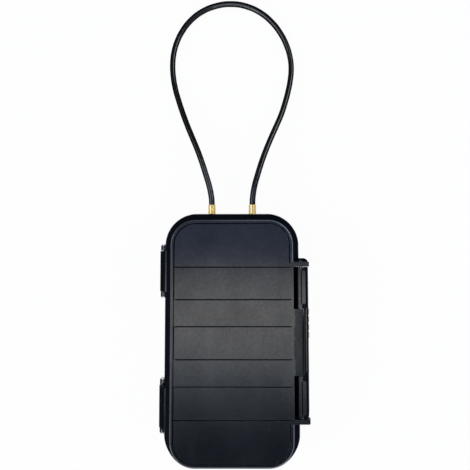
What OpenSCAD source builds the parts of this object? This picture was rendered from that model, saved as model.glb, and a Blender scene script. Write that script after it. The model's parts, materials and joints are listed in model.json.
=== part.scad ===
// Portable beach safe: a hinged plastic box with a combination latch and a steel cable loop.
// The box lies on its back. X runs across it towards the latch, Y towards the cable and
// Z out of the lid. The flange is the band where the base and the lid meet.

/* [Case] */
// Width of the case over its flange
case_w = 109; // [104:1:120]
// Length of the case over its flange
case_l = 203; // [196:1:225]
// Height of the closed case
case_h = 50; // [49:0.5:54]
// Height of the base up to its joint with the lid
base_h = 30; // [29.5:0.5:31]
// Radius of the flange's corners in plan
corner_r = 26; // [24:0.5:29]
// How far the flange stands out from the side of the base
flange_out = 2; // [1.5:0.1:2.4]
// Height of the flange on the base
flange_h = 6; // [5:0.5:8]
// Thickness of the base's side wall
side_wall = 3.2; // [3:0.1:3.4]
// Thickness of the base's floor
floor_t = 2.6; // [2:0.1:4]
// Radius of the base's back edges
back_r = 6; // [4:0.5:8]
// Gap between the closed base and lid
joint_gap = 0.3; // [0.2:0.05:0.5]

/* [Lid] */
// Thickness of the lid's top
lid_t = 2.6; // [2.2:0.1:3.2]
// Radius of the slight bulge of the lid's sloping sides
side_r = 100; // [60:5:200]
// Distance from the flange's edge in to the middle of the rounded crest
crest_in = 7.7; // [7.5:0.1:8.4]
// Radius of the rounded crest round the lid's face
crest_r = 1.4; // [1:0.1:1.6]
// How far the ribbed field lies below the crest
field_drop = 0.3; // [0.2:0.1:0.6]
// Distance from the flange's edge in to the ribbed field
field_inset = 8.9; // [8.7:0.1:10]
// Width of the grooves that frame the field and part its bands
groove_w = 1; // [0.8:0.1:1.4]
// Depth of those grooves
groove_d = 0.9; // [0.6:0.1:1]
// Length of each wide band of the field
band_wide = 25.2; // [22:0.2:27]
// Length of each narrow band of the field
band_narrow = 20.8; // [18:0.2:23]
// How far the bands are set off the middle of the case, away from the cable
band_shift = 0.6; // [0:0.1:1]
// How far the narrow bands stop short of the latch bay
band_short = 2.6; // [2:0.1:4]
// How far the grooves between the bands stop short of the latch bay
groove_stop = 1.6; // [1:0.1:1.9]

/* [Seal] */
// Distance from the flange's edge in to the base's sealing rib
rib_inset = 3; // [2.8:0.1:3.2]
// Thickness of the base's sealing rib
rib_t = 1.4; // [1:0.1:1.6]
// Height of the base's sealing rib
rib_h = 1; // [0.6:0.1:1]
// Clearance beside the rib in the lid's seal groove
rib_clear = 0.5; // [0.5:0.05:0.55]
// Height of the soft seal
seal_h = 1.8; // [1.2:0.1:2.4]

/* [Hinges] */
// Distance of each hinge's middle from the nearer end of the case
hinge_in = 47; // [42:0.5:53]
// Length of the lid's hinge knuckle
knuckle_l = 33; // [26:1:36]
// Radius of the lid's hinge knuckle
knuckle_r = 3.1; // [3:0.1:3.4]
// Length of each of the base's hinge knuckles
base_knuckle_l = 4.2; // [4:0.2:7]
// Radius of the base's hinge knuckles
base_knuckle_r = 3; // [2.5:0.1:3]
// Distance of the hinge axis outside the flange
hinge_out = 1.4; // [1.2:0.1:1.7]
// Distance of the hinge axis below the joint
hinge_drop = 1.5; // [1.3:0.1:1.8]
// Diameter of the hinge pins
hinge_pin_d = 2.8; // [2.2:0.1:3]
// Thickness of the hinge pins' riveted heads
pin_head_t = 1; // [0.8:0.1:2]

/* [Latch] */
// Depth of the latch bay in from the flange's edge
bay_depth = 6.3; // [6:0.1:7]
// Length of the latch bay between the lid's ears
bay_l = 117; // [114:0.5:119]
// Thickness of the lid's ears at their tops
ear_t = 3.6; // [3:0.2:4.6]
// Radius of the ears round the latch pin
ear_r = 6.3; // [5.8:0.1:6.5]
// How far the foot of each ear flares out beyond its top
ear_flare = 2.9; // [2:0.1:3.4]
// Distance of the latch pin outside the flange
latch_pin_out = 0; // [-0.2:0.1:0.4]
// Depth of the latch pin below the top of the lid
latch_pin_drop = 4; // [3.8:0.1:4.4]
// Diameter of the latch pin
latch_pin_d = 3; // [2.4:0.1:3.2]
// Radius of the knuckles on the latch pin
barrel_r = 3.2; // [3:0.1:3.5]
// Length of the lid's middle knuckle
block_l = 51; // [48:0.5:52]
// Gap at each end of a knuckle on the latch pin
knuckle_gap = 0.5; // [0.4:0.05:0.8]
// Distance of the latch's outer face outside the flange
latch_out = 8.4; // [8.2:0.1:8.8]
// Height of the latch's lower edge above the back of the case
latch_foot = 8; // [6:0.5:10]
// Gap between the latch and the bay's wall
bay_gap = 0.9; // [0.7:0.1:1]
// Thickness of the latch's outer wall
latch_wall = 2; // [1.8:0.1:2.2]

/* [Lock] */
// Diameter of the number dials
dial_d = 12.4; // [12.2:0.1:12.6]
// Width of each dial
dial_w = 4.4; // [4:0.1:4.6]
// Distance from one dial to the next
dial_pitch = 6.4; // [6.2:0.1:6.6]
// Place of the middle of the four dials along the case
dial_y = 11.1; // [10:0.1:12]
// Height of the dials' axis above the back of the case
dial_z = 24; // [23.5:0.1:24.5]
// How far the dials stand out of the latch
dial_proud = 1.1; // [0.9:0.1:1.2]
// Depth of the finger notches round each dial
dial_notch = 0.35; // [0.2:0.05:0.5]
// Diameter of the lock rod
rod_d = 3.5; // [3.2:0.1:3.6]
// Height of the rod's fins above its surface
fin_h = 1.1; // [0.9:0.1:1.2]
// Width of the rod's fins
fin_w = 1.2; // [1:0.1:1.4]
// Clearance between the rod and what it turns or slides in
rod_clear = 0.08; // [0.05:0.01:0.1]
// Thickness of the lock cover
cover_t = 1.5; // [1.2:0.1:1.6]
// Length of the keeper's nose along the case
keeper_l = 6; // [5:0.5:6.5]
// Radius of the keeper's nose round its eye
keeper_r = 3.4; // [3.2:0.1:3.5]
// Length of the thumb slide
slide_l = 10; // [8:0.5:11]
// Width of the thumb slide
slide_w = 8; // [6:0.5:9]

/* [Cable] */
// Diameter of the coated cable
cable_d = 5; // [4:0.1:5.6]
// Distance between the two ferrules
cable_gap = 35; // [30:0.5:44]
// Height of the cable's exits above the back of the case
cable_z = 16; // [14:0.5:18]
// Diameter of the brass ferrules
ferrule_d = 6.2; // [6:0.1:7.4]
// Length of the ferrules outside the wall
ferrule_l = 11.5; // [9:0.5:14]
// Diameter of the ferrules' threaded shank
shank_d = 5.4; // [5:0.1:5.8]
// Width of the ferrule nuts across their flats
nut_flats = 9; // [8:0.5:11]
// Thickness of the ferrule nuts
nut_t = 3; // [2:0.2:4]
// Diameter of the crimped cable stops
stop_d = 7.6; // [6.5:0.1:9]
// Length of the crimped cable stops
stop_l = 8; // [6:0.5:12]

/* [Hidden] */
$fn = 64;
// Facets of the lid's large arcs and of the dials' small flutes
arc_facets = 720;
flute_facets = 24;

// Colours of the moulded plastic, metals and seal
plastic = [0.13, 0.14, 0.17];
plastic_dark = [0.08, 0.09, 0.11];
vinyl = [0.03, 0.03, 0.035];
brass = [0.78, 0.62, 0.28];
steel = [0.62, 0.63, 0.65];
rubber = [0.35, 0.36, 0.38];
dial_grey = [0.16, 0.16, 0.18];

// A cut runs this far past the face that it opens
past = 1;
// Parts of one moulding run this far into each other
bite = 0.5;
// A press or screwed fit is this much loose, so that its faces only touch
seat = 0.02;
// Least gap between parts that move past each other
run_gap = 0.35;

// Case
half_w = case_w / 2;
half_l = case_l / 2;
wall_r = corner_r - flange_out;
hollow_r = wall_r - side_wall;
lid_z = base_h + joint_gap;
inner_half_l = half_l - flange_out - side_wall;
// The lid's side rises from side_z, over its upright edge, to the crest
lid_edge_h = 3;
side_z = lid_z + lid_edge_h;
crest_z = case_h - crest_r;
field_z = case_h - field_drop;
edge_bevel = 0.5;

// Seal groove and the lid's hollow, as insets from the flange's edge
seal_in = rib_inset - rib_clear;
seal_out = rib_inset + rib_t + rib_clear;
lid_hollow_in = seal_out + 1;
groove_top = base_h + rib_h + run_gap + seal_h;

// Hinge axis
hinge_x = -half_w - hinge_out;
hinge_y = half_l - hinge_in;
hinge_z = base_h - hinge_drop;
hinge_gap = 0.4;
hinge_len = knuckle_l + 2 * (hinge_gap + base_knuckle_l);
hinge_clear = 0.4;
pin_head_r = hinge_pin_d / 2 + 0.9;
// Height of the web that carries each of the base's knuckles
knuckle_web_h = 11;
// Lid's hinge arm: its thickness over the barrel, its height up the side and its foot on the lid
lug_heel_h = 2.5;
lug_h = 5.5;
lug_top_z = side_z + lug_h;
lug_foot_out = 0.8;
lug_foot_in = 3.4;
lug_root = 1.6;

// Latch
bay_x = half_w - bay_depth;
latch_pin_x = half_w + latch_pin_out;
latch_pin_z = case_h - latch_pin_drop;
latch_x = half_w + latch_out;
latch_in = bay_x + bay_gap;
latch_len = bay_l - 2 * knuckle_gap;
arm_l = (latch_len - block_l) / 2 - knuckle_gap;
housing_top = latch_pin_z - barrel_r - 4;
// How far the ears run into the lid, and the slope at which their fronts leave the pin's round
ear_root = 3;
ear_slope = 25;
// Depths below the lid's face at which an ear's flare starts and at which it is full
ear_flare_drops = [1.2, 8.8];
ear_flare_back = 1;
ear_corner_r = 2.6;
// Thickened edge of the lid along the latch bay
edge_bar_w = 6;
edge_bar_h = 6;
edge_bar_z = side_z + edge_bar_h;
// Groove along the latch's arms over the pin, and the raised pad outside it
pad_rise = 0.6;
pad_w = 2.8;
pad_r = 1.2;
pad_x = latch_pin_x + 0.15;
groove_x = latch_pin_x - 0.7;
barrel_groove_d = 1.2;
pad_ends = [3.5, 2.6];
arm_bevel = 0.7;
// Bevels and slopes of the latch's section; its face leans back above the dials
latch_foot_bevel = 1.5;
latch_foot_back = 4;
latch_back_bevel = 2;
latch_shoulder = 4;
latch_lip = 1;
housing_bevel = [1.1, 2.6];
face_lean = 10.5;
face_z = dial_z + 5;
brow_z = latch_pin_z - 3;

// Lock
dial_r = dial_d / 2;
dial_x = latch_x + dial_proud - dial_r;
rod_r = rod_d / 2;
fin_r = rod_r + fin_h;
dial_bore_r = rod_r + rod_clear;
fin_l = 1.2;
fin_clear = 0.2;
web_t = dial_pitch - dial_w - 2 * fin_clear;
dial_numbers = 10;
dial_flute_r = 0.9;
// How much of each dial's top and foot the latch's wall covers
dial_hidden = 0.6;
// Channel that the keeper stands in, below the dials
keeper_y = dial_y - 3 * dial_pitch;
channel_gap = 0.6;
channel_l = keeper_l + 2 * channel_gap;
channel_top = keeper_y + channel_l / 2;
channel_roof = 3.1;
// Chamber of the dials and the rod
chamber_bottom = channel_top + latch_wall - run_gap;
chamber_top = latch_len / 2 - latch_wall;
chamber_r = dial_r + run_gap;
bearing_t = 1.8;
bearing_y = chamber_top - bearing_t / 2 - dial_pitch - past - run_gap;
slide_stem = 4;
slide_y = bearing_y - bearing_t / 2 - slide_stem / 2 - run_gap;
slide_recess = 0.9;
slide_sunk = 0.1;
slide_collar_r = rod_r + 1.5;
cover_face = latch_in + cover_t;
cover_margin = 3.2;
cover_edge = 0.4;
cover_gap = 0.15;
screw_depth = 4;
cover_screw_d = 1.8;
cover_head_r = cover_screw_d / 2 + 0.5;
cover_head_t = 0.7;
cover_screw_in = 4;
cover_screw_ys = [chamber_bottom + cover_screw_in, chamber_top - cover_screw_in];
spring_t = 0.3;
spring_w = 2.4;
spring_strip = 1.6;
spring_reach = 4;

// Keeper
keeper_plate_t = 1.4;
keeper_plate_l = 22;
keeper_plate_edge = 1;
keeper_screw_d = 2.4;
keeper_screw_gap = 15;
keeper_head_t = 1.2;
keeper_head_rs = [keeper_screw_d / 2 + 0.6, keeper_screw_d / 2 + 1.1];
wall_in_x = bay_x - flange_out - side_wall;

// Ferrules and stops of the cable
ferrule_neck = 0.35;
ferrule_neck_l = 0.6;
ferrule_ring_l = 1.8;
ferrule_edge = 0.4;
shank_past_nut = 1.4;
stop_tail = 1.5;

// Case reach on both sides, and the shift that centres the whole box over the origin
hinge_reach = hinge_out + knuckle_r;
latch_reach = latch_out + dial_proud;
shift_x = (hinge_reach - latch_reach) / 2;

// Centre line of the cable, from the left ferrule round to the right one
route = [
    [-17.5, 111, 16], [-17.9, 117.5, 16], [-20, 128, 15.6], [-23, 138, 14.8],
    [-26.5, 149, 13.5], [-30.5, 160, 11.9], [-35, 171, 10.1], [-39.5, 182, 8.3],
    [-44, 194, 6.4], [-48, 206, 4.8], [-51.5, 218, 3.6], [-53.7, 230, 2.9],
    [-54.4, 241, 2.7], [-53.5, 252, 2.6], [-50.6, 263, 2.6], [-45.5, 273.5, 2.6],
    [-38.3, 283, 2.6], [-28, 291.3, 2.6], [-15.3, 296.7, 2.6], [-1, 298.6, 2.6],
    [13.2, 296.3, 2.6], [25.8, 290.3, 2.6], [36, 281.6, 2.6], [44, 271, 2.6],
    [49.6, 259.5, 2.6], [52.8, 248, 2.6], [53.7, 237.5, 2.7], [52.8, 227, 2.9],
    [50.6, 216, 3.7], [47.5, 204.5, 4.9], [43.7, 193, 6.6], [39, 182, 8.3],
    [34.2, 171, 10.1], [29.7, 160, 11.9], [25.7, 149, 13.5], [22.3, 138, 14.8],
    [19.5, 128, 15.6], [17.8, 117.5, 16], [17.5, 111, 16]
];
cable_sides = 12;

// Shared shapes

// Rounded rectangle about the origin
module rounded(w, l, r) {
    square([w - 2 * r, l], center = true);
    square([w, l - 2 * r], center = true);
    for (x = [-1, 1], y = [-1, 1])
        translate([x * (w / 2 - r), y * (l / 2 - r)]) circle(r);
}

// Outline of the case in plan without the latch bay, set in from the flange's edge
module plan(inset) {
    difference() {
        rounded(case_w - 2 * inset, case_l - 2 * inset, corner_r - inset);
        translate([bay_x - inset, -bay_l / 2 - inset])
            square([bay_depth + 2 * inset, bay_l + 2 * inset]);
    }
}

// Carries a profile round the case. The profile's x is measured out from the middle of each
// corner, and its y is the height.
module carried() {
    cx = half_w - corner_r;
    cy = half_l - corner_r;
    for (turn = [0 : 3]) {
        long = turn % 2 == 0;
        x = long ? cx : cy;
        y = long ? cy : cx;
        rotate([0, 0, 90 * turn]) {
            translate([x, y, 0]) rotate_extrude(angle = 90) children();
            translate([x, y, 0]) rotate([90, 0, 0]) linear_extrude(2 * y) children();
        }
    }
}

// The same for a side profile, with the middle of the case filled
module swept(low, high) {
    corner = [half_w - corner_r, half_l - corner_r, 0];
    carried() children();
    block([0, 0, low] - corner, [0, 0, high] + corner);
}

// A shape drawn across the case in x and z, and carried along Y from its middle
module along(y, length) {
    translate([0, y + length / 2, 0]) rotate([90, 0, 0]) linear_extrude(length) children();
}

// A round bar along Y
module bar(x, y, z, r, length) {
    along(y, length) translate([x, z]) circle(r);
}

// A box between two corners
module block(a, b) {
    translate(a) cube(b - a);
}

// The whole object is drawn about the case and then centred over the origin
module placed() {
    translate([shift_x, 0, 0]) children();
}

// Base

module base_profile() {
    square([wall_r - back_r, base_h]);
    translate([0, back_r]) square([wall_r, base_h - back_r]);
    translate([wall_r - back_r, back_r]) circle(back_r);
    translate([0, base_h - flange_h])
        polygon([[0, 0], [wall_r, -flange_out], [corner_r, 0],
                 [corner_r, flange_h - edge_bevel], [corner_r - edge_bevel, flange_h],
                 [0, flange_h]]);
}

module base_hollow_profile() {
    r = back_r - floor_t;
    translate([0, floor_t]) square([hollow_r - r, base_h]);
    translate([0, floor_t + r]) square([hollow_r, base_h]);
    translate([hollow_r - r, floor_t + r]) circle(r);
}

module base_knuckle(y) {
    length = base_knuckle_l;
    bar(hinge_x, y, hinge_z, base_knuckle_r, length);
    along(y, length)
        polygon([[hinge_x - base_knuckle_r, hinge_z], [hinge_x, base_h],
                 [-half_w + flange_out + bite, base_h],
                 [-half_w + flange_out + bite, hinge_z - knuckle_web_h],
                 [-half_w + flange_out, hinge_z - knuckle_web_h]]);
}

module base_shell() {
    color(plastic) placed() difference() {
        union() {
            difference() {
                swept(0, base_h) base_profile();
                block([bay_x, -bay_l / 2, -past], [half_w + past, bay_l / 2, base_h + past]);
                intersection() {
                    swept(floor_t, base_h + past) base_hollow_profile();
                    block([-half_w, -half_l, floor_t], [half_w, half_l, base_h + past]);
                }
                for (y = [-hinge_y, hinge_y]) {
                    bar(hinge_x, y, hinge_z, knuckle_r + hinge_clear, knuckle_l + 2 * hinge_gap);
                    bar(hinge_x, y, hinge_z, pin_head_r + hinge_clear,
                        hinge_len + 2 * (pin_head_t + hinge_clear));
                }
            }
            bay_wall();
            linear_extrude(base_h + rib_h) difference() {
                plan(rib_inset);
                plan(rib_inset + rib_t);
            }
            for (y = [-hinge_y, hinge_y], side = [-1, 1])
                base_knuckle(y + side * (knuckle_l / 2 + hinge_gap + base_knuckle_l / 2));
        }
        for (y = [-hinge_y, hinge_y])
            bar(hinge_x, y, hinge_z, hinge_pin_d / 2 + seat, hinge_len + 2 * past);
        for (x = [-1, 1])
            translate([x * cable_gap / 2, half_l - flange_out + past, cable_z])
                rotate([90, 0, 0]) cylinder(r = shank_d / 2 + seat, h = side_wall + 2 * past);
        keeper_slot();
    }
}

// Wall that closes the base's hollow behind the latch bay
module bay_wall() {
    linear_extrude(base_h) intersection() {
        difference() {
            plan(0);
            plan(flange_out + side_wall);
        }
        translate([bay_x - flange_out - side_wall, -bay_l / 2 - flange_out - side_wall])
            square([flange_out + side_wall, bay_l + 2 * (flange_out + side_wall)]);
    }
}

module keeper_slot() {
    block([wall_in_x - past, keeper_y - keeper_l / 2 - seat, dial_z - keeper_r - seat],
          [bay_x + past, keeper_y + keeper_l / 2 + seat, dial_z + keeper_r + seat]);
    for (side = [-1, 1])
        translate([wall_in_x - past, keeper_y + side * keeper_screw_gap / 2, dial_z])
            rotate([0, 90, 0]) cylinder(r = keeper_screw_d / 2 + seat, h = screw_depth + past);
}

// Lid

// Middle of the arc that runs from the lid's edge up the side and meets the crest's round
function side_middle() =
    let (foot = [corner_r, side_z], crest = [corner_r - crest_in, crest_z],
         gap = norm(crest - foot), up = (crest - foot) / gap, reach = side_r - crest_r,
         way = (side_r * side_r - reach * reach + gap * gap) / (2 * gap))
    foot + way * up + sqrt(side_r * side_r - way * way) * [-up.y, up.x];

// Side of the lid: an upright edge, a slightly bulged slope and the rounded crest
module lid_profile() {
    crest = [corner_r - crest_in, crest_z];
    middle = side_middle();
    meet_z = crest_z + crest_r * (crest_z - middle.y) / (side_r - crest_r);
    translate([0, lid_z])
        polygon([[0, 0], [corner_r - edge_bevel, 0], [corner_r, edge_bevel],
                 [corner_r, lid_edge_h], [0, lid_edge_h]]);
    intersection() {
        translate(middle) circle(side_r, $fn = arc_facets);
        translate([0, side_z]) square([corner_r, meet_z - side_z]);
    }
    translate([0, side_z]) square([crest.x, case_h - side_z]);
    translate(crest) circle(crest_r);
}

module lid_hollow_profile() {
    hollow = corner_r - lid_hollow_in;
    intersection() {
        translate([0, lid_z - past]) square([hollow, case_h - lid_t - lid_z + past]);
        translate(side_middle()) circle(side_r - lid_t, $fn = arc_facets);
    }
}

// Ear that holds the latch pin; its top stays level with the lid's face
module ear_profile() {
    root = bay_x - ear_root;
    intersection() {
        union() {
            translate([latch_pin_x, latch_pin_z]) circle(ear_r);
            polygon([[root, side_z], [half_w, side_z],
                     [latch_pin_x + ear_r * cos(ear_slope), latch_pin_z - ear_r * sin(ear_slope)],
                     [latch_pin_x, field_z + past], [root, field_z + past]]);
        }
        translate([root, lid_z]) square([latch_pin_x + ear_r + past - root, field_z - lid_z]);
    }
}

// Ear with a foot that flares out, away from the latch
module ear(side) {
    inner = bay_l / 2;
    drops = ear_flare_drops;
    along(side * (inner + ear_t / 2), ear_t) ear_profile();
    intersection() {
        along(side * (inner + ear_t), 2 * ear_flare)
            translate([-ear_flare_back, 0]) ear_profile();
        rotate([90, 0, 90]) linear_extrude(case_w)
            polygon([[side * (inner + bite), field_z - drops[0]],
                     [side * (inner + ear_t), field_z - drops[0]],
                     [side * (inner + ear_t + ear_flare), field_z - drops[1]],
                     [side * (inner + ear_t + ear_flare), side_z],
                     [side * (inner + bite), side_z]]);
        linear_extrude(case_h)
            rounded(2 * (latch_pin_x + ear_r - ear_flare_back), 2 * (inner + ear_t + ear_flare),
                    ear_corner_r);
    }
}

module lid_knuckle(y) {
    bar(hinge_x, y, hinge_z, knuckle_r, knuckle_l);
    along(y, knuckle_l)
        polygon([[hinge_x - knuckle_r, hinge_z], [hinge_x - knuckle_r, hinge_z + lug_heel_h],
                 [-half_w + lug_foot_out, lug_top_z], [-half_w + lug_foot_in, lug_top_z],
                 [-half_w + lug_root, lid_z], [hinge_x, hinge_z]]);
}

// Middle knuckle of the latch pin; its top falls from the lid's face to the knuckle's round
module middle_knuckle() {
    root = [bay_x - bite, field_z];
    gap = [latch_pin_x, latch_pin_z] - root;
    fall = atan(-gap.y / gap.x) - asin(barrel_r / norm(gap));
    bar(latch_pin_x, 0, latch_pin_z, barrel_r, block_l);
    along(0, block_l)
        polygon([root, [root.x, latch_pin_z - barrel_r], [latch_pin_x, latch_pin_z - barrel_r],
                 [latch_pin_x + barrel_r * sin(fall), latch_pin_z + barrel_r * cos(fall)]]);
}

// Field of seven bands inside the crest, open towards the latch bay
module field_plan() {
    strip_l = bay_l + 2 * ear_t;
    rounded(case_w - 2 * field_inset, case_l - 2 * field_inset, corner_r - field_inset);
    translate([0, -strip_l / 2]) square([half_w + past, strip_l]);
}

// Groove of V section between the crest and the field, left out along the latch bay
module field_frame() {
    outer = corner_r - field_inset;
    strip_l = bay_l + 2 * ear_t - 2 * groove_w;
    difference() {
        carried()
            polygon([[outer, case_h + past], [outer, field_z],
                     [outer - groove_w / 2, field_z - groove_d], [outer - groove_w, field_z],
                     [outer - groove_w, case_h + past]]);
        block([0, -strip_l / 2, field_z - groove_d - past],
              [half_w, strip_l / 2, case_h + 2 * past]);
    }
}

// Groove of V section across the field
module band_groove(y, from_x, to_x) {
    half = groove_w / 2;
    translate([from_x, y, field_z]) rotate([90, 0, 90]) linear_extrude(to_x - from_x)
        polygon([[-half, past], [-half, 0], [0, -groove_d], [half, 0], [half, past]]);
}

module lid_face_cuts() {
    left = -half_w + field_inset + groove_w / 2;
    short_x = bay_x - band_short;
    ys = [band_wide / 2, band_wide / 2 + band_narrow, 1.5 * band_wide + band_narrow];
    translate([0, 0, field_z]) linear_extrude(field_drop + past) field_plan();
    field_frame();
    for (y = ys, side = [-1, 1]) band_groove(side * y - band_shift, left, bay_x - groove_stop);
    for (side = [-1, 1]) {
        low = (side > 0 ? ys[0] : -ys[1]) - band_shift;
        block([left, low, field_z - groove_d],
              [left + band_short / 2, low + band_narrow, case_h]);
        block([short_x, low, field_z - groove_d / 2],
              [bay_x + past, low + band_narrow, case_h]);
    }
}

module lid_shell() {
    color(plastic) placed() difference() {
        union() {
            difference() {
                swept(lid_z, case_h) lid_profile();
                block([bay_x, -bay_l / 2, lid_z - past], [half_w + past, bay_l / 2, case_h + past]);
                for (y = [-hinge_y, hinge_y], side = [-1, 1])
                    bar(hinge_x, y + side * (hinge_len - base_knuckle_l + pin_head_t) / 2, hinge_z,
                        base_knuckle_r + hinge_clear,
                        base_knuckle_l + pin_head_t + 2 * hinge_gap);
            }
            block([bay_x - edge_bar_w, -bay_l / 2 - ear_t, edge_bar_z],
                  [bay_x, bay_l / 2 + ear_t, field_z]);
            for (side = [-1, 1]) ear(side);
            middle_knuckle();
            for (y = [-hinge_y, hinge_y]) lid_knuckle(y);
        }
        lid_face_cuts();
        difference() {
            swept(lid_z - past, case_h - lid_t) lid_hollow_profile();
            block([bay_x - lid_hollow_in, -bay_l / 2 - lid_hollow_in, 0],
                  [half_w, bay_l / 2 + lid_hollow_in, case_h]);
        }
        seal_ring(lid_z - past, groove_top);
        bar(latch_pin_x, 0, latch_pin_z, latch_pin_d / 2 + seat, bay_l + 2 * (ear_t + ear_flare));
        for (y = [-hinge_y, hinge_y])
            bar(hinge_x, y, hinge_z, hinge_pin_d / 2 + rod_clear, knuckle_l + past);
    }
}

module seal_ring(low, high) {
    translate([0, 0, low]) linear_extrude(high - low) difference() {
        plan(seal_in);
        plan(seal_out);
    }
}

module lid_seal() {
    color(rubber) placed() seal_ring(groove_top - seal_h, groove_top);
}

module hinge_pin(y) {
    color(steel) placed() {
        bar(hinge_x, y, hinge_z, hinge_pin_d / 2, hinge_len + bite);
        for (side = [-1, 1])
            bar(hinge_x, y + side * (hinge_len + pin_head_t) / 2, hinge_z, pin_head_r, pin_head_t);
    }
}

module hinge_pin_upper() { hinge_pin(hinge_y); }
module hinge_pin_lower() { hinge_pin(-hinge_y); }

// Latch

// Section of the latch through one of its knuckles
module arm_profile() {
    top = latch_pin_z + barrel_r - pad_rise;
    back = latch_pin_x - barrel_r;
    translate([latch_pin_x, latch_pin_z]) circle(barrel_r);
    polygon([[back, latch_pin_z], [back, top + pad_rise - arm_bevel],
             [back + arm_bevel, top + pad_rise], [latch_pin_x, top + pad_rise],
             [latch_pin_x, latch_pin_z]]);
    polygon(concat([[latch_pin_x - barrel_r, latch_pin_z]], foot_points(),
                   [[face_x(brow_z), brow_z], [pad_x + pad_w, top], [latch_pin_x, top]]));
}

// Section of the latch where the lid's middle knuckle leaves it no room above
module housing_profile() {
    bevel_z = housing_top - housing_bevel.y;
    polygon(concat(foot_points(),
                   [[face_x(bevel_z), bevel_z],
                    [face_x(housing_top) - housing_bevel.x, housing_top],
                    [latch_x - latch_shoulder, housing_top]]));
}

// Lower part of both sections, from the back of the latch round its foot and up its face
function foot_points() = [
    [latch_in, housing_top - latch_shoulder + latch_lip], [latch_in, latch_foot + latch_foot_back],
    [latch_in + latch_back_bevel, latch_foot], [latch_x - latch_foot_bevel, latch_foot],
    [latch_x, latch_foot + latch_foot_bevel], [latch_x, face_z]
];

// Where the leaning part of the latch's face stands at a height
function face_x(z) = latch_x - (z - face_z) * tan(face_lean);

// Raised pad on one of the latch's arms, with the groove beside it
module pad_plan(side) {
    near = block_l / 2 + knuckle_gap + pad_ends[0];
    far = latch_len / 2 - pad_ends[1];
    translate([pad_x + pad_w / 2, side * (near + far) / 2]) rounded(pad_w, far - near, pad_r);
}

module latch_body() {
    arm_y = block_l / 2 + knuckle_gap + arm_l / 2;
    pad_top = latch_pin_z + barrel_r;
    color(plastic) placed() difference() {
        union() {
            along(0, latch_len) housing_profile();
            for (side = [-1, 1]) {
                along(side * arm_y, arm_l) arm_profile();
                translate([0, 0, latch_pin_z]) linear_extrude(barrel_r) pad_plan(side);
            }
        }
        for (side = [-1, 1])
            translate([0, 0, pad_top - barrel_groove_d]) linear_extrude(barrel_groove_d + past)
                difference() {
                    translate([groove_x - pad_x, 0]) pad_plan(side);
                    pad_plan(side);
                }
        bar(latch_pin_x, 0, latch_pin_z, latch_pin_d / 2 + rod_clear, latch_len + past);
        lock_room();
        keeper_channel();
        latch_pockets();
    }
}

// Chamber for the dials and the rod, with the windows, bearings and cover seat
module lock_room() {
    inner = latch_x - latch_wall;
    difference() {
        block([latch_in - past, chamber_bottom, dial_z - chamber_r],
              [inner, chamber_top, dial_z + chamber_r]);
        for (i = [-2 : 2])
            chamber_web(dial_y + i * dial_pitch, web_t, fin_r + run_gap);
        chamber_web(bearing_y, bearing_t, rod_r + rod_clear);
    }
    bar(dial_x, chamber_bottom, dial_z, rod_r + rod_clear, 2 * (chamber_bottom - channel_top) + past);
    for (i = [0 : 3])
        block([inner - past, dial_place(i) - dial_w / 2 - run_gap, dial_z - dial_r + dial_hidden],
              [latch_x + past, dial_place(i) + dial_w / 2 + run_gap, dial_z + dial_r - dial_hidden]);
    block([latch_in - past, chamber_bottom - cover_edge, dial_z - chamber_r - cover_margin],
          [cover_face, chamber_top + cover_edge, dial_z + chamber_r + cover_margin]);
    for (y = cover_screw_ys, side = [-1, 1])
        translate([cover_face, y, dial_z + side * (chamber_r + cover_margin / 2)])
            rotate([0, 90, 0]) cylinder(r = cover_screw_d / 2 + seat, h = screw_depth + past);
    slide_cut(inner - past, slide_stem, slide_stem);
    slide_cut(latch_x - slide_recess, slide_l, slide_w);
}

// Web across the chamber with a hole for the rod; it leaves room for the spring's strip
module chamber_web(y, thick, hole_r) {
    low_x = cover_face + spring_t + seat;
    difference() {
        along(y, thick)
            translate([low_x, dial_z - chamber_r])
                square([latch_x - latch_wall - low_x, 2 * chamber_r]);
        bar(dial_x, y, dial_z, hole_r, thick + past);
    }
}

// Room for a piece of the thumb slide over its whole travel
module slide_cut(low_x, length, width) {
    block([low_x, slide_y - dial_pitch - length / 2 - run_gap, dial_z - width / 2 - run_gap],
          [latch_x + past, slide_y + length / 2 + run_gap, dial_z + width / 2 + run_gap]);
}

// Channel for the base's keeper, open at the latch's foot so that the lid can lift off it
module keeper_channel() {
    block([latch_in - past, keeper_y - channel_l / 2, latch_foot - past],
          [dial_x + keeper_r + channel_gap, keeper_y + channel_l / 2,
           dial_z + keeper_r + channel_roof]);
}

// Hollows moulded into the lower half of the latch, parted by ribs
module latch_pockets() {
    count = 3;
    low = -latch_len / 2 + latch_wall;
    high = keeper_y - channel_l / 2 - latch_wall;
    step = (high - low + latch_wall) / count;
    for (i = [0 : count - 1])
        block([latch_in - past, low + i * step, latch_foot + latch_foot_back],
              [latch_x - latch_wall, low + (i + 1) * step - latch_wall,
               housing_top - latch_shoulder - bite]);
}

module latch_pin() {
    color(steel) placed() {
        bar(latch_pin_x, 0, latch_pin_z, latch_pin_d / 2, bay_l + 2 * ear_t);
    }
}

module lock_cover() {
    half = chamber_r + cover_margin - cover_gap;
    color(plastic_dark) placed() difference() {
        block([latch_in, chamber_bottom - cover_edge + cover_gap, dial_z - half],
              [cover_face, chamber_top + cover_edge - cover_gap, dial_z + half]);
        for (y = cover_screw_ys, side = [-1, 1])
            translate([latch_in - past, y, dial_z + side * (chamber_r + cover_margin / 2)])
                rotate([0, 90, 0]) {
                    cylinder(r = cover_screw_d / 2 + seat, h = cover_t + 2 * past);
                    cylinder(r = cover_head_r + seat, h = past + cover_head_t);
                }
    }
}

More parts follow.
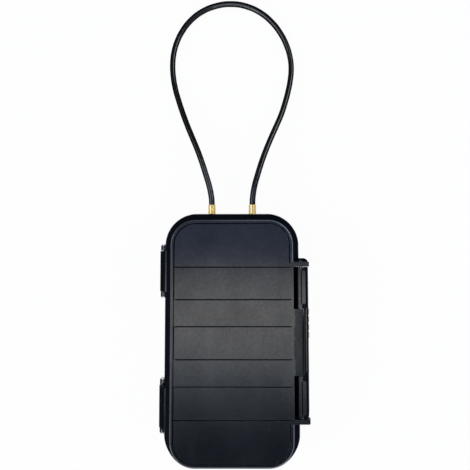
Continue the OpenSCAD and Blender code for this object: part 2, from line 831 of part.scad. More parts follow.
module cover_screws() {
    color(steel) placed()
        for (y = cover_screw_ys, side = [-1, 1])
            translate([latch_in, y, dial_z + side * (chamber_r + cover_margin / 2)])
                rotate([0, 90, 0]) {
                    cylinder(r = cover_screw_d / 2, h = cover_t + screw_depth);
                    cylinder(r = cover_head_r, h = cover_head_t);
                }
}

// Lock

function dial_place(i) = dial_y + (1.5 - i) * dial_pitch;

// Number dial: its bore has a keyway that lets the rod's fin pass in one position only
module dial(i) {
    y = dial_place(i);
    color(dial_grey) placed() difference() {
        bar(dial_x, y, dial_z, dial_r, dial_w);
        bar(dial_x, y, dial_z, dial_bore_r, dial_w + past);
        block([dial_x - fin_r - fin_clear, y - dial_w, dial_z - fin_w / 2 - fin_clear],
              [dial_x, y + dial_w, dial_z + fin_w / 2 + fin_clear]);
        for (a = [0 : dial_numbers - 1])
            translate([dial_x, y, dial_z]) rotate([0, 360 * (a + 0.5) / dial_numbers, 0])
                translate([dial_r + dial_flute_r - dial_notch, 0, 0]) rotate([90, 0, 0])
                    cylinder(r = dial_flute_r, h = dial_w + past, center = true, $fn = flute_facets);
    }
}

module dial_1() { dial(0); }
module dial_2() { dial(1); }
module dial_3() { dial(2); }
module dial_4() { dial(3); }

module lock_rod() {
    low = channel_top + run_gap;
    high = bearing_y + bearing_t / 2 + dial_pitch + past;
    color(steel) placed() {
        bar(dial_x, (low + high) / 2, dial_z, rod_r, high - low);
        for (i = [0 : 3])
            block([dial_x - fin_r, dial_place(i) + dial_pitch / 2 - fin_l / 2, dial_z - fin_w / 2],
                  [dial_x, dial_place(i) + dial_pitch / 2 + fin_l / 2, dial_z + fin_w / 2]);
    }
}

// Thumb slide: a ribbed pad outside, a stem through the slot and a collar on the rod
module thumb_slide() {
    top = latch_x - slide_sunk;
    stem = slide_stem / 2;
    grip = [0.35, 0.8, 1.6];
    color(plastic_dark) placed() difference() {
        union() {
            bar(dial_x, slide_y, dial_z, slide_collar_r, slide_stem);
            block([dial_x, slide_y - stem, dial_z - stem], [top - bite, slide_y + stem, dial_z + stem]);
            block([latch_x - slide_recess + slide_sunk, slide_y - slide_l / 2, dial_z - slide_w / 2],
                  [top, slide_y + slide_l / 2, dial_z + slide_w / 2]);
        }
        bar(dial_x, slide_y, dial_z, rod_r + seat, slide_stem + past);
        for (i = [-2 : 2])
            block([top - grip[0], slide_y + grip[2] * i - grip[1] / 2, dial_z - slide_w / 2 + grip[1]],
                  [top + past, slide_y + grip[2] * i + grip[1] / 2, dial_z + slide_w / 2 - grip[1]]);
    }
}

// Comb of leaf springs that clicks the dials into place
module detent_spring() {
    strip_z = dial_z + chamber_r - spring_strip - run_gap;
    leaf_z = strip_z + bite;
    tip_x = dial_x - dial_r - run_gap;
    face = cover_face + spring_t;
    color(steel) placed() {
        block([cover_face, dial_place(3) - spring_w / 2, strip_z],
              [face, dial_place(0) + spring_w / 2, strip_z + spring_strip]);
        for (i = [0 : 3])
            along(dial_place(i), spring_w)
                polygon([[cover_face, leaf_z], [face, leaf_z], [tip_x, dial_z],
                         [face, dial_z - spring_reach], [cover_face, dial_z - spring_reach],
                         [tip_x - spring_t, dial_z]]);
    }
}

// Keeper: a steel eye on the base that the rod locks into
module keeper() {
    color(steel) placed() difference() {
        union() {
            bar(dial_x, keeper_y, dial_z, keeper_r, keeper_l);
            block([wall_in_x - bite, keeper_y - keeper_l / 2, dial_z - keeper_r],
                  [dial_x, keeper_y + keeper_l / 2, dial_z + keeper_r]);
            block([wall_in_x - keeper_plate_t, keeper_y - keeper_plate_l / 2,
                   dial_z - keeper_r - keeper_plate_edge],
                  [wall_in_x, keeper_y + keeper_plate_l / 2, dial_z + keeper_r + keeper_plate_edge]);
        }
        bar(dial_x, keeper_y, dial_z, rod_r + run_gap, keeper_l + past);
        for (side = [-1, 1])
            translate([wall_in_x - past - keeper_plate_t, keeper_y + side * keeper_screw_gap / 2, dial_z])
                rotate([0, 90, 0])
                    cylinder(r = keeper_screw_d / 2 + seat, h = keeper_plate_t + 2 * past);
    }
}

module keeper_screws() {
    color(steel) placed()
        for (side = [-1, 1])
            translate([wall_in_x - keeper_plate_t, keeper_y + side * keeper_screw_gap / 2, dial_z])
                rotate([0, 90, 0]) {
                    cylinder(r = keeper_screw_d / 2, h = keeper_plate_t + screw_depth - bite);
                    translate([0, 0, -keeper_head_t])
                        cylinder(r1 = keeper_head_rs[0], r2 = keeper_head_rs[1], h = keeper_head_t);
                }
}

// Cable

function unit(v) = v / norm(v);
function way(i) = i == 0 ? [0, 1, 0] : i == len(route) - 1 ? [0, -1, 0]
    : unit(route[i + 1] - route[i - 1]);
function ring(i) = let (t = way(i), a = unit(cross([0, 0, 1], t)), b = cross(t, a))
    [for (k = [0 : cable_sides - 1])
        route[i] + cable_d / 2 * (cos(360 * k / cable_sides) * a + sin(360 * k / cable_sides) * b)];

module cable() {
    count = len(route);
    points = [for (i = [0 : count - 1]) each ring(i)];
    skin = [for (i = [0 : count - 2], k = [0 : cable_sides - 1])
        let (a = i * cable_sides, n = (k + 1) % cable_sides)
        [a + k, a + cable_sides + k, a + cable_sides + n, a + n]];
    ends = [[for (k = [0 : cable_sides - 1]) k],
            [for (k = [cable_sides - 1 : -1 : 0]) (count - 1) * cable_sides + k]];
    color(vinyl) placed() polyhedron(points, concat(skin, ends));
}

module cable_ferrule(side) {
    wall_y = half_l - flange_out;
    shank_l = side_wall + nut_t + shank_past_nut;
    r = ferrule_d / 2;
    neck_l = ferrule_l - ferrule_ring_l;
    color(brass) placed() translate([side * cable_gap / 2, wall_y, cable_z]) rotate([-90, 0, 0]) {
        cylinder(r = r, h = neck_l - ferrule_neck_l);
        cylinder(r = r - ferrule_neck, h = neck_l);
        translate([0, 0, neck_l]) cylinder(r = r, h = ferrule_ring_l - ferrule_edge);
        translate([0, 0, ferrule_l - ferrule_edge])
            cylinder(r1 = r, r2 = r - ferrule_edge, h = ferrule_edge);
        translate([0, 0, -shank_l]) cylinder(r = shank_d / 2, h = shank_l);
    }
}

module cable_ferrule_left() { cable_ferrule(-1); }
module cable_ferrule_right() { cable_ferrule(1); }

module ferrule_nuts() {
    color(brass) placed()
        for (side = [-1, 1])
            translate([side * cable_gap / 2, inner_half_l, cable_z]) rotate([90, 0, 0])
                difference() {
                    cylinder(r = nut_flats / sqrt(3), h = nut_t, $fn = 6);
                    translate([0, 0, -past]) cylinder(r = shank_d / 2 + seat, h = nut_t + 2 * past);
                }
}

module cable_stops() {
    shank_end = inner_half_l - nut_t - shank_past_nut;
    color(steel) placed()
        for (side = [-1, 1])
            translate([side * cable_gap / 2, shank_end, cable_z]) rotate([90, 0, 0]) {
                cylinder(r = stop_d / 2, h = stop_l);
                cylinder(r = stop_d / 4, h = stop_l + stop_tail);
            }
}

base_shell();
lid_shell();
lid_seal();
hinge_pin_upper();
hinge_pin_lower();
latch_body();
latch_pin();
lock_cover();
cover_screws();
lock_rod();
thumb_slide();
dial_1();
dial_2();
dial_3();
dial_4();
detent_spring();
keeper();
keeper_screws();
cable();
cable_ferrule_left();
cable_ferrule_right();
ferrule_nuts();
cable_stops();
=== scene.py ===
import json
import math

import bmesh
import bpy
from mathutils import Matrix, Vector


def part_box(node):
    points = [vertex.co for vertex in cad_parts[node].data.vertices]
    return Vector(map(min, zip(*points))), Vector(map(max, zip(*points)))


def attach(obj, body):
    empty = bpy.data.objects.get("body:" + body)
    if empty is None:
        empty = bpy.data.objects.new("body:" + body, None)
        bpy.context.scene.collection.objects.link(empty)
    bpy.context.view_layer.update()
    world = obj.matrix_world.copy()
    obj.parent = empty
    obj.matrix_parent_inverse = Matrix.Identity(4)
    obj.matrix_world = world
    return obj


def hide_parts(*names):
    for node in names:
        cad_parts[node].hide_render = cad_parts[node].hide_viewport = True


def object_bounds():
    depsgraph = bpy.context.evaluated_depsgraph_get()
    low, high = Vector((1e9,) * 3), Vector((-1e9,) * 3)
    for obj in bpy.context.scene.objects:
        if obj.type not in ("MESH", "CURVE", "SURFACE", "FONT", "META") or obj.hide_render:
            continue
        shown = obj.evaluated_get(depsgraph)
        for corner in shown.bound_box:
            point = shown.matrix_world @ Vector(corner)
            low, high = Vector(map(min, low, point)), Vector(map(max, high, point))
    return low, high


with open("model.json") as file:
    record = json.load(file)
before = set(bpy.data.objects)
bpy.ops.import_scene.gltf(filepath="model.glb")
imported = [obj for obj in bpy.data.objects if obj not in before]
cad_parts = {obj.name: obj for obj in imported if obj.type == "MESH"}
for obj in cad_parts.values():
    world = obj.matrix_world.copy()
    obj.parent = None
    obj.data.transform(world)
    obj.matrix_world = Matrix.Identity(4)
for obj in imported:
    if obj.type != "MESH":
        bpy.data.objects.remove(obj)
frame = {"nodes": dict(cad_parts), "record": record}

cad_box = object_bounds()
scene = bpy.context.scene

MM = 0.001
SHIFT = -2.5  # part.scad draws the case about its own middle and then moves it by this along X


def at(x, y, z):
    """A point of the case's own frame in millimetres, as a point of the row frame in metres."""
    return Vector(((x + SHIFT) * MM, y * MM, z * MM))


def new_object(name, data):
    """New object that shows the given data, in the scene."""
    obj = bpy.data.objects.new(name, data)
    scene.collection.objects.link(obj)
    return obj


# Camera, in millimetres of the case's own frame, with its turn in radians

SENSOR_WIDTH = 36
FOCAL_LENGTH = 32.94
NEAREST_SEEN = 10
CAMERA_PLACE = (4.461, 64.411, 385.956)
CAMERA_TURN = (0.055593, 0.005538, -0.00089)


def make_camera():
    """Camera above the case, fitted to the outline, rim and grooves in the photograph."""
    lens = bpy.data.cameras.new("camera")
    lens.sensor_width = SENSOR_WIDTH
    lens.lens = FOCAL_LENGTH
    lens.clip_start = NEAREST_SEEN * MM
    camera = new_object("camera", lens)
    camera.location = at(*CAMERA_PLACE)
    camera.rotation_euler = CAMERA_TURN
    scene.camera = camera


make_camera()


# Node helpers

MOST_NOISE = (0.3, 0.7)  # nearly all values of a noise lie between these two


def material(name):
    """New material, with its node tree and its shader."""
    m = bpy.data.materials.new(name)
    m.use_nodes = True
    return m, m.node_tree, m.node_tree.nodes["Principled BSDF"]


def node(nt, kind, inputs=None, **props):
    """New node. Each input is a plain value or the socket that feeds it."""
    n = nt.nodes.new(kind)
    for key, value in props.items():
        setattr(n, key, value)
    for key, value in (inputs or {}).items():
        if isinstance(value, bpy.types.NodeSocket):
            nt.links.new(value, n.inputs[key])
        else:
            n.inputs[key].default_value = value
    return n


def feed(nt, shader, sources):
    """Joins each source to the shader's input of that name."""
    for name, source in sources.items():
        nt.links.new(source, shader.inputs[name])


def combine(nt, how, first, *others):
    """Folds values into one, with a Math node for each value after the first."""
    for other in others:
        first = node(nt, "ShaderNodeMath", {0: first, 1: other}, operation=how).outputs[0]
    return first


def mix(nt, share, first, second):
    """Colour between two others. A Mix node has its colours at inputs 6 and 7 and at output 2."""
    return node(nt, "ShaderNodeMix", {0: share, 6: first, 7: second}, data_type="RGBA").outputs[2]


def noise(nt, where, scale, detail=3, rough=0.5, stretch=None):
    """Cloudy noise. A stretch below 1 draws it out along that axis."""
    if stretch:
        where = node(nt, "ShaderNodeMapping", {"Vector": where, "Scale": stretch}).outputs[0]
    settings = {"Vector": where, "Scale": scale, "Detail": detail, "Roughness": rough}
    return node(nt, "ShaderNodeTexNoise", settings).outputs["Fac"]


def ramp(nt, value, stops):
    """Grey or colour that runs through the given stops, each a position and what stands there."""
    n = node(nt, "ShaderNodeValToRGB", {"Fac": value})
    elements = n.color_ramp.elements
    while len(elements) < len(stops):
        elements.new(0.5)
    for element, (position, colour) in zip(elements, stops):
        element.position = position
        element.color = (*colour, 1) if isinstance(colour, tuple) else (colour, colour, colour, 1)
    return n.outputs["Color"]


def remap(nt, value, to, over=MOST_NOISE):
    """Carries the range of values `over` to the range `to`, and holds it at both ends."""
    settings = {"Value": value, "From Min": over[0], "From Max": over[1], "To Min": to[0], "To Max": to[1]}
    return node(nt, "ShaderNodeMapRange", settings).outputs["Result"]


def bump(nt, height, distance, under=None):
    """Relief of the given depth, laid over another relief if there is one."""
    n = node(nt, "ShaderNodeBump", {"Height": height, "Distance": distance, "Strength": 1.0})
    if under:
        nt.links.new(under, n.inputs["Normal"])
    return n.outputs["Normal"]


def object_place(nt):
    """Place on the piece, which moves with it."""
    return node(nt, "ShaderNodeTexCoord").outputs["Object"]


def parts_of(nt, vector):
    """The X, Y and Z sockets of a vector."""
    return node(nt, "ShaderNodeSeparateXYZ", {0: vector}).outputs


def upward(nt):
    """How far the surface faces the piece's own +Z: 1 on level faces, 0 on upright ones."""
    return parts_of(nt, node(nt, "ShaderNodeTexCoord").outputs["Normal"])["Z"]


def slant(nt):
    """How far the surface is seen from the side: 0 seen square on, 1 seen edge on."""
    return node(nt, "ShaderNodeLayerWeight", {"Blend": 0.5}).outputs["Facing"]


# Painted highlight on the lid's rim and painted shade in the latch's recesses, by their place on the
# closed case

case_top = cad_box[1].z
latch_low, latch_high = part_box("latch_body")

# Painted highlight on the lid's rim: the heights where it lies, how it grows across the lid and where it
# stops at the latch
RIM_HIGHLIGHT_HEIGHTS = (case_top - 0.7 * MM, case_top - 0.5 * MM)
RIM_HIGHLIGHT_ACROSS = (-40 * MM, 35 * MM)
RIM_HIGHLIGHT_END = (latch_low.x - 0.6 * MM, latch_low.x - 0.1 * MM)
RIM_HIGHLIGHT_TURN = [(0.48, 0.0), (0.62, 1.0), (0.95, 1.0), (0.99, 0.0)]  # by how far an edge faces up

# Painted shade in the latch's recesses, where their gloss is taken out: its lowest and highest places, and
# its limit towards +X
PAD_SHADE = (latch_high.z - 1.5 * MM, latch_high.z - 0.12 * MM, latch_high.x + 10 * MM)
CORNER_SHADE = (latch_high.z - 11.2 * MM, latch_high.z - 9.7 * MM, latch_high.x - 3.6 * MM)
SHADE_FADE = 0.1 * MM
SHADED_GLOSS = 0.1


def rubbed_edges(nt, p, scuff):
    """Painted highlight: a paler colour on the rounded edges at the top of the lid, most beside the latch.
    """
    place = parts_of(nt, p)
    return combine(nt, "MULTIPLY",
                   ramp(nt, upward(nt), RIM_HIGHLIGHT_TURN),
                   remap(nt, place["Z"], to=(0, 1), over=RIM_HIGHLIGHT_HEIGHTS),
                   remap(nt, place["X"], to=(0.22, 1), over=RIM_HIGHLIGHT_ACROSS),
                   remap(nt, place["X"], to=(1, 0), over=RIM_HIGHLIGHT_END),
                   remap(nt, scuff, to=(0.75, 1)))


def grime(nt, p, places):
    """Share of its gloss that the surface keeps: less in the latch's recesses, as painted shade."""
    place = parts_of(nt, p)
    shade = []
    for low, high, outer in places:
        above = remap(nt, place["Z"], to=(0, 1), over=(low - SHADE_FADE, low))
        below = remap(nt, place["Z"], to=(1, 0), over=(high - SHADE_FADE, high))
        inside = remap(nt, place["X"], to=(1, 0), over=(outer - 2 * SHADE_FADE, outer))
        shade.append(combine(nt, "MULTIPLY", above, below, inside))
    return remap(nt, combine(nt, "MAXIMUM", *shade), to=(1, SHADED_GLOSS), over=(0, 1))


# Moulded plastic

SPECULAR = 0.5
LEVEL_FROM = (0.8, 0.93)  # faces that point up by less are slopes, fully so at the first value
UPRIGHT_TO = (0.12, 0.28)  # faces that point up by more are slopes, fully so at the second value
SQUARE_ON = (0.12, 0.45)  # over these slants a slope loses its gloss


def plastic_colour(nt, p, scuff, cloud, dark, pale, highlight_tone):
    """Faint clouds between two tones, with a paler painted highlight on the rim's rounded edges."""
    colour = ramp(nt, cloud, [(0.3, dark), (0.72, pale)])
    # Painted highlight: the paler tone on the rim's rounded edges
    if highlight_tone:
        colour = mix(nt, rubbed_edges(nt, p, scuff), colour, (*highlight_tone, 1))
    return colour


def plastic_roughness(nt, up, scuff, cloud, rough):
    """Roughness that follows the clouds and is higher in scuffs and on slopes."""
    clouded = remap(nt, cloud, to=(rough - 0.025, rough + 0.025))
    scuffed = remap(nt, scuff, to=(0, 0.07), over=(0.56, 0.7))
    sloping = remap(nt, up, to=(0.14, 0), over=LEVEL_FROM)
    return combine(nt, "ADD", clouded, scuffed, sloping)


def plastic_relief(nt, p, grain):
    """Fine spark-eroded grain over slight waves."""
    waves = bump(nt, noise(nt, p, scale=260, detail=2), 0.02 * MM)
    return bump(nt, noise(nt, p, scale=5200, detail=2, rough=0.6), grain * MM, under=waves)


def plastic_gloss(nt, p, up, shaded_recesses):
    """Gloss of level and upright faces. A slope has it only where it is seen nearly square on."""
    ends = zip((*UPRIGHT_TO, *LEVEL_FROM), (1.0, 0.0, 0.0, 1.0))
    polish = combine(nt, "MAXIMUM", ramp(nt, up, list(ends)),
                     remap(nt, slant(nt), to=(1, 0), over=SQUARE_ON))
    patches = remap(nt, noise(nt, p, scale=38, detail=5, rough=0.62, stretch=(1, 0.6, 1)),
                    to=(0.86 * SPECULAR, 1.14 * SPECULAR), over=(0.35, 0.65))
    mottle = remap(nt, noise(nt, p, scale=480, detail=4, rough=0.65), to=(0.82, 1.18))
    gloss = combine(nt, "MULTIPLY", polish, patches, mottle)
    # Painted shade: gloss taken out of the latch's recesses
    if shaded_recesses:
        gloss = combine(nt, "MULTIPLY", gloss, grime(nt, p, shaded_recesses))
    return gloss


def moulded(name, dark, pale, rough, grain=0.02, highlight_tone=None, shaded_recesses=()):
    """Moulded plastic with a grain of so many millimetres, faint clouds and a few handling scuffs."""
    m, nt, bsdf = material(name)
    p = object_place(nt)
    up = upward(nt)
    cloud = noise(nt, p, scale=28, detail=4, rough=0.55)
    scuff = noise(nt, p, scale=90, detail=6, rough=0.7, stretch=(1, 0.14, 1))
    feed(nt, bsdf, {"Base Color": plastic_colour(nt, p, scuff, cloud, dark, pale, highlight_tone),
                    "Roughness": plastic_roughness(nt, up, scuff, cloud, rough),
                    "Normal": plastic_relief(nt, p, grain),
                    "Specular IOR Level": plastic_gloss(nt, p, up, shaded_recesses)})
    return m


# Metal, rubber and vinyl

DRAWN_ALONG_Y = (1, 0.05, 1)
TURNED_ABOUT_Y = (0.05, 1, 0.05)


def metal(name, dark, pale, rough, marks, fineness):
    """Machined or drawn metal: tool marks along one way, with a duller film in patches."""
    m, nt, bsdf = material(name)
    p = object_place(nt)
    film = noise(nt, p, scale=160, detail=5, rough=0.6)
    lines = noise(nt, p, scale=fineness, detail=4, rough=0.6, stretch=marks)
    feed(nt, bsdf, {"Base Color": ramp(nt, film, [(0.32, dark), (0.68, pale)]),
                    "Roughness": remap(nt, film, to=(rough + 0.08, rough - 0.04)),
                    "Normal": bump(nt, lines, 0.01 * MM)})
    bsdf.inputs["Metallic"].default_value = 1.0
    return m


def turned_brass():
    """Brass of the ferrules, which mirrors a darker yellow where it turns away."""
    m = metal("brass", dark=(0.66, 0.45, 0.14), pale=(0.92, 0.7, 0.31), rough=0.36,
              marks=TURNED_ABOUT_Y, fineness=1400)
    m.node_tree.nodes["Principled BSDF"].inputs["Specular Tint"].default_value = (0.3, 0.17, 0.05, 1)
    return m


def seal_rubber():
    """Soft dull rubber of the lid's seal."""
    m, nt, bsdf = material("seal_rubber")
    p = object_place(nt)
    tones = [(0.3, (0.03, 0.03, 0.033)), (0.7, (0.055, 0.055, 0.06))]
    feed(nt, bsdf, {"Base Color": ramp(nt, noise(nt, p, scale=120, detail=4), tones),
                    "Roughness": remap(nt, noise(nt, p, scale=900), to=(0.62, 0.78)),
                    "Normal": bump(nt, noise(nt, p, scale=3000), 0.03 * MM)})
    return m


def cable_vinyl():
    """Extruded vinyl coat: glossy and slightly uneven, with a fine grain."""
    m, nt, bsdf = material("cable_vinyl")
    p = object_place(nt)
    tones = [(0.35, (0.002, 0.002, 0.0023)), (0.7, (0.004, 0.004, 0.0045))]
    uneven = bump(nt, noise(nt, p, scale=150, detail=2), 0.2 * MM)
    feed(nt, bsdf, {"Base Color": ramp(nt, noise(nt, p, scale=60, detail=4), tones),
                    "Roughness": remap(nt, noise(nt, p, scale=240, detail=5, rough=0.6), to=(0.15, 0.26)),
                    "Normal": bump(nt, noise(nt, p, scale=1400), 0.02 * MM, under=uneven),
                    "Specular IOR Level": remap(nt, slant(nt), to=(0.65, 0.0), over=(0.03, 0.32))})
    return m


# Materials of the CAD nodes, by the record's material slots

looks = {
    # The shell's paler third tone is a painted highlight on the lid's rim
    "shell": moulded("shell_plastic", dark=(0.0036, 0.0044, 0.0064), pale=(0.005, 0.006, 0.0086),
                     rough=0.145, grain=0.017, highlight_tone=(0.14, 0.155, 0.18)),
    "dark_plastic": moulded("dark_plastic", dark=(0.006, 0.006, 0.007), pale=(0.011, 0.011, 0.012),
                            rough=0.45),
    "dial": moulded("dial_plastic", dark=(0.006, 0.0065, 0.008), pale=(0.01, 0.011, 0.013), rough=0.3),
    "steel": metal("steel", dark=(0.42, 0.43, 0.44), pale=(0.6, 0.61, 0.62), rough=0.3,
                   marks=DRAWN_ALONG_Y, fineness=900),
    "brass": turned_brass(),
    "seal_rubber": seal_rubber(),
    "cable_vinyl": cable_vinyl(),
}
# The latch's plastic has painted shade in its recesses, where its gloss is taken out
latch_plastic = moulded("latch_plastic", dark=(0.0034, 0.0042, 0.006), pale=(0.0046, 0.0056, 0.008),
                        rough=0.145, grain=0.017, shaded_recesses=(PAD_SHADE, CORNER_SHADE))
number_paint = moulded("number_paint", dark=(0.62, 0.62, 0.6), pale=(0.74, 0.74, 0.72), rough=0.5)

for part in frame["record"]["subparts"]:
    look = latch_plastic if part["node"] == "latch_body" else looks[part["material_slot"]]
    slots = frame["nodes"][part["node"]].data.materials
    slots.clear()
    slots.append(look)


# Soft moulded edges on the CAD nodes, in millimetres

EDGE_WIDTHS = {"lid_shell": 0.22, "base_shell": 0.2, "latch_body": 0.22,
               "thumb_slide": 0.12, "lock_cover": 0.15, "keeper": 0.2}
EDGE_STEPS = 2
SHARPEST_LEFT = 24  # edges that bend by fewer degrees stay as they are
WELD_GAP = 0.002


def soften(name, width):
    """Rounds the sharp edges of a CAD node by the given width."""
    obj = frame["nodes"][name]
    weld = obj.modifiers.new("weld", "WELD")
    weld.merge_threshold = WELD_GAP * MM
    edges = obj.modifiers.new("edges", "BEVEL")
    edges.width = width * MM
    edges.segments = EDGE_STEPS
    edges.limit_method = "ANGLE"
    edges.angle_limit = math.radians(SHARPEST_LEFT)
    edges.harden_normals = True
    edges.miter_outer = "MITER_ARC"


for name, width in EDGE_WIDTHS.items():
    soften(name, width)


# Cable, in millimetres of the case's own frame

CABLE_DIAMETER = 5
ROUTE = [
    (-17.5, 111, 16), (-17.9, 117.5, 16), (-20, 128, 15.6), (-23, 138, 14.8),
    (-26.5, 149, 13.5), (-30.5, 160, 11.9), (-35, 171, 10.1), (-39.5, 182, 8.3),
    (-44, 194, 6.4), (-48, 206, 4.8), (-51.5, 218, 3.6), (-53.7, 230, 2.9),
    (-54.4, 241, 2.7), (-53.5, 252, 2.6), (-50.6, 263, 2.6), (-45.5, 273.5, 2.6),
    (-38.3, 283, 2.6), (-28, 291.3, 2.6), (-15.3, 296.7, 2.6), (-1, 298.6, 2.6),
    (13.2, 296.3, 2.6), (25.8, 290.3, 2.6), (36, 281.6, 2.6), (44, 271, 2.6),
    (49.6, 259.5, 2.6), (52.8, 248, 2.6), (53.7, 237.5, 2.7), (52.8, 227, 2.9),
    (50.6, 216, 3.7), (47.5, 204.5, 4.9), (43.7, 193, 6.6), (39, 182, 8.3),
    (34.2, 171, 10.1), (29.7, 160, 11.9), (25.7, 149, 13.5), (22.3, 138, 14.8),
    (19.5, 128, 15.6), (17.8, 117.5, 16), (17.5, 111, 16),
]


def make_cable():
    """Round tube on the route of the CAD cable, from one ferrule to the other."""
    curve = bpy.data.curves.new("cable_coat", "CURVE")
    curve.dimensions = "3D"
    curve.bevel_depth = CABLE_DIAMETER / 2 * MM
    curve.bevel_resolution = 6
    curve.resolution_u = 6
    curve.use_fill_caps = True
    curve.materials.append(looks["cable_vinyl"])
    spline = curve.splines.new("BEZIER")
    spline.bezier_points.add(len(ROUTE) - 1)
    for point, place in zip(spline.bezier_points, ROUTE):
        point.co = at(*place)
        point.handle_left_type = point.handle_right_type = "AUTO"
    return new_object("cable_coat", curve)


cable = make_cable()
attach(cable, "case_base")
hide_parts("cable")


# Numbers on the dials, drawn in millimetres

DIGITS = 10
DIGIT_HEIGHT = 2.5
DIGIT_NARROWING = 0.95
SLICE = 0.25  # spacing of the cuts across a digit that let it bend round its dial
PROUD = 0.015
STEPS_TURNED = {"dial_1": 3, "dial_2": 7, "dial_3": 1, "dial_4": 5}


def digit_outline(text):
    """Flat mesh of one digit, centred, with its height along Y."""
    font = bpy.data.curves.new("digit", "FONT")
    font.body = text
    font.align_x = "CENTER"
    letter = new_object("digit", font)
    bpy.context.view_layer.update()
    mesh = bpy.data.meshes.new_from_object(letter)
    bpy.data.objects.remove(letter)
    bpy.data.curves.remove(font)
    xs = [v.co.x for v in mesh.vertices]
    ys = [v.co.y for v in mesh.vertices]
    middle = Vector(((max(xs) + min(xs)) / 2, (max(ys) + min(ys)) / 2, 0))
    scale = DIGIT_HEIGHT / (max(ys) - min(ys))
    for v in mesh.vertices:
        v.co = (v.co - middle) * scale
    return mesh


def sliced_digit(value):
    """Digit with level cuts across it, as a bmesh."""
    outline = digit_outline(str(value))
    digit = bmesh.new()
    digit.from_mesh(outline)
    bpy.data.meshes.remove(outline)
    for i in range(1, round(DIGIT_HEIGHT / SLICE)):
        everything = digit.verts[:] + digit.edges[:] + digit.faces[:]
        level = i * SLICE - DIGIT_HEIGHT / 2
        bmesh.ops.bisect_plane(digit, geom=everything, plane_co=(0, level, 0), plane_no=(0, 1, 0))
    return digit


def dial_numbers(dial, turned):
    """The numbers 0 to 9 round a dial, a hair proud of it and turned by so many steps."""
    low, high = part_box(dial)
    middle = (low + high) / 2
    radius = (high.x - low.x) / 2 / MM
    ring = bmesh.new()
    for value in range(DIGITS):
        digit = sliced_digit(value)
        start = math.radians(360 / DIGITS * (value + turned))
        for v in digit.verts:
            angle = start + v.co.y / radius
            reach = (radius + PROUD) * MM
            v.co = middle + Vector((reach * math.cos(angle), v.co.x * DIGIT_NARROWING * MM,
                                    reach * math.sin(angle)))
        bent = bpy.data.meshes.new("digit")
        digit.to_mesh(bent)
        digit.free()
        ring.from_mesh(bent)
        bpy.data.meshes.remove(bent)
    mesh = bpy.data.meshes.new(f"{dial}_numbers")
    ring.to_mesh(mesh)
    ring.free()
    mesh.materials.append(number_paint)
    return new_object(f"{dial}_numbers", mesh)


for dial, turned in STEPS_TURNED.items():
    piece = dial_numbers(dial, turned)
    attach(piece, dial)


# Floor, in metres

FLOOR_REACH = 12.0
FLOOR_DROP = 0.0002  # under the object, so that no faces meet in one plane
FLOOR_GLOW = 0.95  # share of plain white in what the camera and reflections see


def white_floor():
    """Pale floor that takes the object's shadow; the camera and reflections see it as near white."""
    m, nt, bsdf = material("floor")
    bsdf.inputs["Base Color"].default_value = (0.88, 0.88, 0.88, 1)
    bsdf.inputs["Roughness"].default_value = 0.9
    bsdf.inputs["Specular IOR Level"].default_value = 0.0
    glow = node(nt, "ShaderNodeEmission", {"Strength": 1.0})
    light = node(nt, "ShaderNodeLightPath").outputs
    seen = combine(nt, "ADD", light["Is Camera Ray"], light["Is Glossy Ray"],
                   light["Is Transmission Ray"])
    share = node(nt, "ShaderNodeMath", {0: seen, 1: FLOOR_GLOW}, operation="MULTIPLY", use_clamp=True)
    surface = node(nt, "ShaderNodeMixShader",
                   {0: share.outputs[0], 1: bsdf.outputs[0], 2: glow.outputs[0]})
    feed(nt, nt.nodes["Material Output"], {"Surface": surface.outputs[0]})
    return m


def make_floor():
    """Level square of floor under the object."""
    mesh = bpy.data.meshes.new("floor")
    r = FLOOR_REACH
    mesh.from_pydata([(-r, -r, 0), (r, -r, 0), (r, r, 0), (-r, r, 0)], [], [(0, 1, 2, 3)])
    mesh.materials.append(white_floor())
    floor = new_object("floor", mesh)
    floor.location.z = -FLOOR_DROP
    return floor


make_floor()


# World

# Light of the room, by the sine of the height that a ray goes up to
ROOM = [(0.0, (0.5, 0.58, 0.7)), (0.34, (0.36, 0.44, 0.56)), (0.5, (0.06, 0.075, 0.1))]
WHITE_FADE = (0.05, 0.3)  # over these heights the white goes out of what is mirrored or let through


def make_world():
    """White all round for the camera, and low over the floor in reflections. The rest is the room."""
    world = bpy.data.worlds.new("world")
    scene.world = world
    world.use_nodes = True
    nt = world.node_tree
    height = parts_of(nt, node(nt, "ShaderNodeTexCoord").outputs["Generated"])["Z"]
    light = node(nt, "ShaderNodeLightPath").outputs
    bent = combine(nt, "ADD", light["Is Glossy Ray"], light["Is Transmission Ray"])
    bent = combine(nt, "MULTIPLY", bent, remap(nt, height, to=(1, 0), over=WHITE_FADE))
    white = combine(nt, "ADD", light["Is Camera Ray"], bent)
    background = nt.nodes["Background"]
    feed(nt, background, {"Color": mix(nt, white, ramp(nt, height, ROOM), (1, 1, 1, 1))})
    background.inputs["Strength"].default_value = 1.0


make_world()


# Lamps, with sizes and places in metres

OVERHEAD_HEIGHT = 1.04
LAMP_DISTANCE = 1.4
AIM_HEIGHT = 0.05
STRIP_X = (-0.4, 0.32)
SKY_X = (-0.6, 0.6)

WARM = (1.0, 0.99, 0.97)
COOL = (0.76, 0.86, 1.0)
PALE = (0.88, 0.94, 1.0)
BLUE = (0.5, 0.6, 1.0)
DAY = (0.93, 0.96, 1.0)


def lamp(name, glow, colour, size, fills=True, gleams=True):
    """Rectangular lamp of a plain radiance, which lights surfaces, is mirrored in them or both."""
    width, depth = size
    data = bpy.data.lights.new(name, "AREA")
    data.shape = "RECTANGLE"
    data.size, data.size_y = width, depth
    data.energy = glow * math.pi * width * depth
    data.color = colour
    obj = new_object(name, data)
    obj.visible_diffuse = fills
    obj.visible_glossy = gleams
    return obj


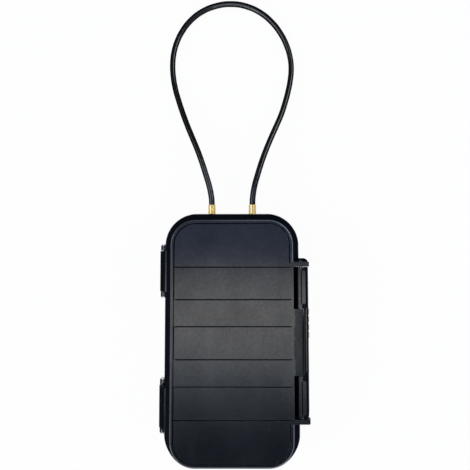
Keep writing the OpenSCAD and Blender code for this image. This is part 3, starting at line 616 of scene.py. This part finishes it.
def overhead(name, glow, colour, xs, ys):
    """Lamp that lies level over the box, between two places along X and two along Y."""
    obj = lamp(name, glow, colour, (xs[1] - xs[0], ys[1] - ys[0]))
    obj.location = (sum(xs) / 2, sum(ys) / 2, OVERHEAD_HEIGHT)


def place_around(obj, turn, tilt):
    """Puts a lamp around the box, facing it. A turn of 0 is in front, 90 is on the right."""
    a, b = math.radians(turn), math.radians(tilt)
    away = Vector((math.sin(a) * math.sin(b), -math.cos(a) * math.sin(b), math.cos(b)))
    obj.location = away * LAMP_DISTANCE + Vector((0, 0, AIM_HEIGHT))
    obj.rotation_euler = away.to_track_quat("Z", "Y").to_euler()


def fill(name, glow, colour, turn, tilt, size):
    """Lamp that only lights surfaces."""
    place_around(lamp(name, glow, colour, size, gleams=False), turn, tilt)


def gleam(name, glow, turn, tilt, size):
    """Lamp that is only mirrored in surfaces."""
    place_around(lamp(name, glow, PALE, size, fills=False), turn, tilt)


# Seen by the camera, the lid's level field mirrors the strip in its middle bands, the skirts beside
# them and the sky at the cable's end
overhead("strip", 2.3, WARM, STRIP_X, (-0.25, 0.012))
overhead("skirt_near", 1.35, COOL, STRIP_X, (-0.33, -0.25))
overhead("skirt_far", 0.5, COOL, STRIP_X, (-0.43, -0.33))
overhead("skirt_back", 0.95, COOL, STRIP_X, (0.012, 0.065))
overhead("sky", 0.72, BLUE, SKY_X, (0.065, 0.5))
fill("left", 3.0, DAY, turn=-90, tilt=62, size=(1.4, 0.8))
fill("right", 2.4, DAY, turn=90, tilt=62, size=(1.4, 0.8))
fill("front", 2.4, (0.95, 0.97, 1.0), turn=0, tilt=55, size=(1.4, 0.8))
fill("back", 1.2, (0.9, 0.95, 1.0), turn=180, tilt=55, size=(1.4, 0.5))
gleam("gleam_left", 7.0, turn=-83, tilt=43, size=(1.5, 0.3))
gleam("gleam_right", 8.0, turn=130, tilt=50, size=(0.8, 0.3))
gleam("gleam_front", 8.0, turn=0, tilt=47, size=(1.2, 0.25))
gleam("gleam_front_left", 9.0, turn=-42, tilt=60, size=(0.6, 0.3))

scene.view_settings.view_transform = "Standard"
